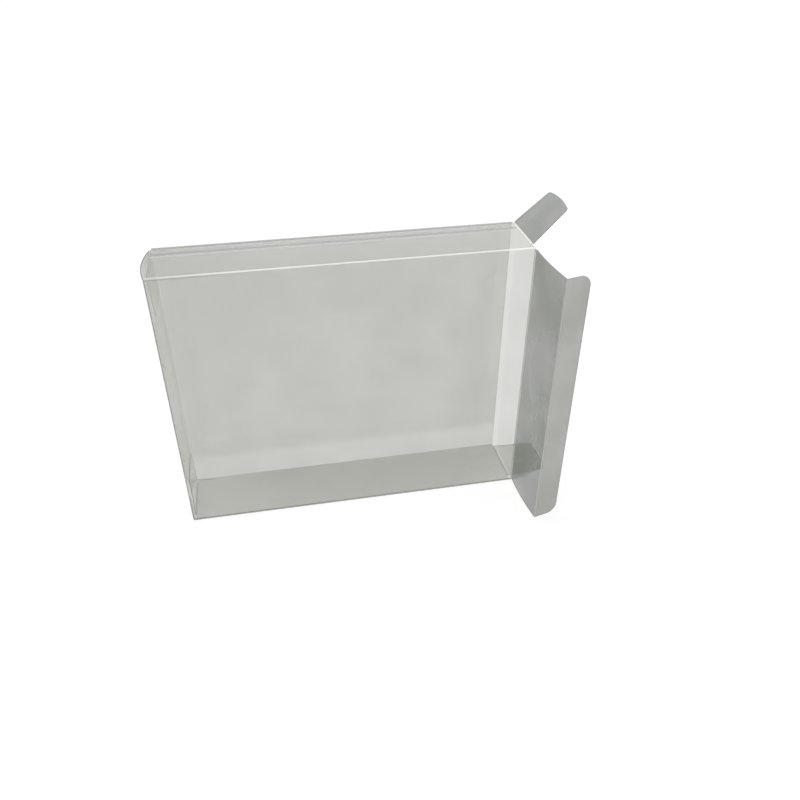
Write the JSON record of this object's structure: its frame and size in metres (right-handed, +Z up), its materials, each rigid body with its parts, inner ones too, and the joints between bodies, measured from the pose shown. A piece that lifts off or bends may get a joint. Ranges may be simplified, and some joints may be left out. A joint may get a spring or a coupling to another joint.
{
  "type": "game box protector",
  "caption": "Clear film tuck-end sleeve for two stacked game cases, shut at one end and open at the other, with its lid, tuck and dust flaps on live creases.",
  "frame": {"origin": "middle of the base panel's underside, midway between the two lid creases", "axes": "+Z up, +X along the sleeve from its closed end to its mouth, +Y from the front panel to the back panel"},
  "size_m": [0.1992, 0.0671, 0.1536],
  "materials": {
    "clear_film": "clear PET film, slightly warm grey, glossy"
  },
  "bodies": {
    "sleeve": {"sleeve": "clear_film"},
    "end_lid": {"end_lid": "clear_film"},
    "mouth_lid": {"mouth_lid": "clear_film"},
    "tuck_flap": {"tuck_flap": "clear_film"},
    "upper_dust_flap": {"upper_dust_flap": "clear_film"},
    "lower_dust_flap": {"lower_dust_flap": "clear_film"}
  },
  "joints": [
    {"name": "end_lid_crease", "type": "hinge", "parent": "sleeve", "child": "end_lid", "pos_m": [-0.08725, -0.017, 0.069], "axis": [0, 0, 1], "range_deg": [0, 250]},
    {"name": "mouth_lid_crease", "type": "hinge", "parent": "sleeve", "child": "mouth_lid", "pos_m": [0.08725, -0.017, 0.069], "axis": [0, 0, -1], "range_deg": [-176.5, 73.5]},
    {"name": "tuck_crease", "type": "hinge", "parent": "mouth_lid", "child": "tuck_flap", "pos_m": [0.08928, -0.05014, 0.069], "axis": [0, 0, -1], "range_deg": [0, 99.94]},
    {"name": "upper_dust_crease", "type": "hinge", "parent": "sleeve", "child": "upper_dust_flap", "pos_m": [0.08645, 0, 0.138], "axis": [0, -1, 0], "range_deg": [-132, 108]},
    {"name": "lower_dust_crease", "type": "hinge", "parent": "sleeve", "child": "lower_dust_flap", "pos_m": [0.08645, 0, 0], "axis": [0, 1, 0], "range_deg": [-90, 0]}
  ]
}
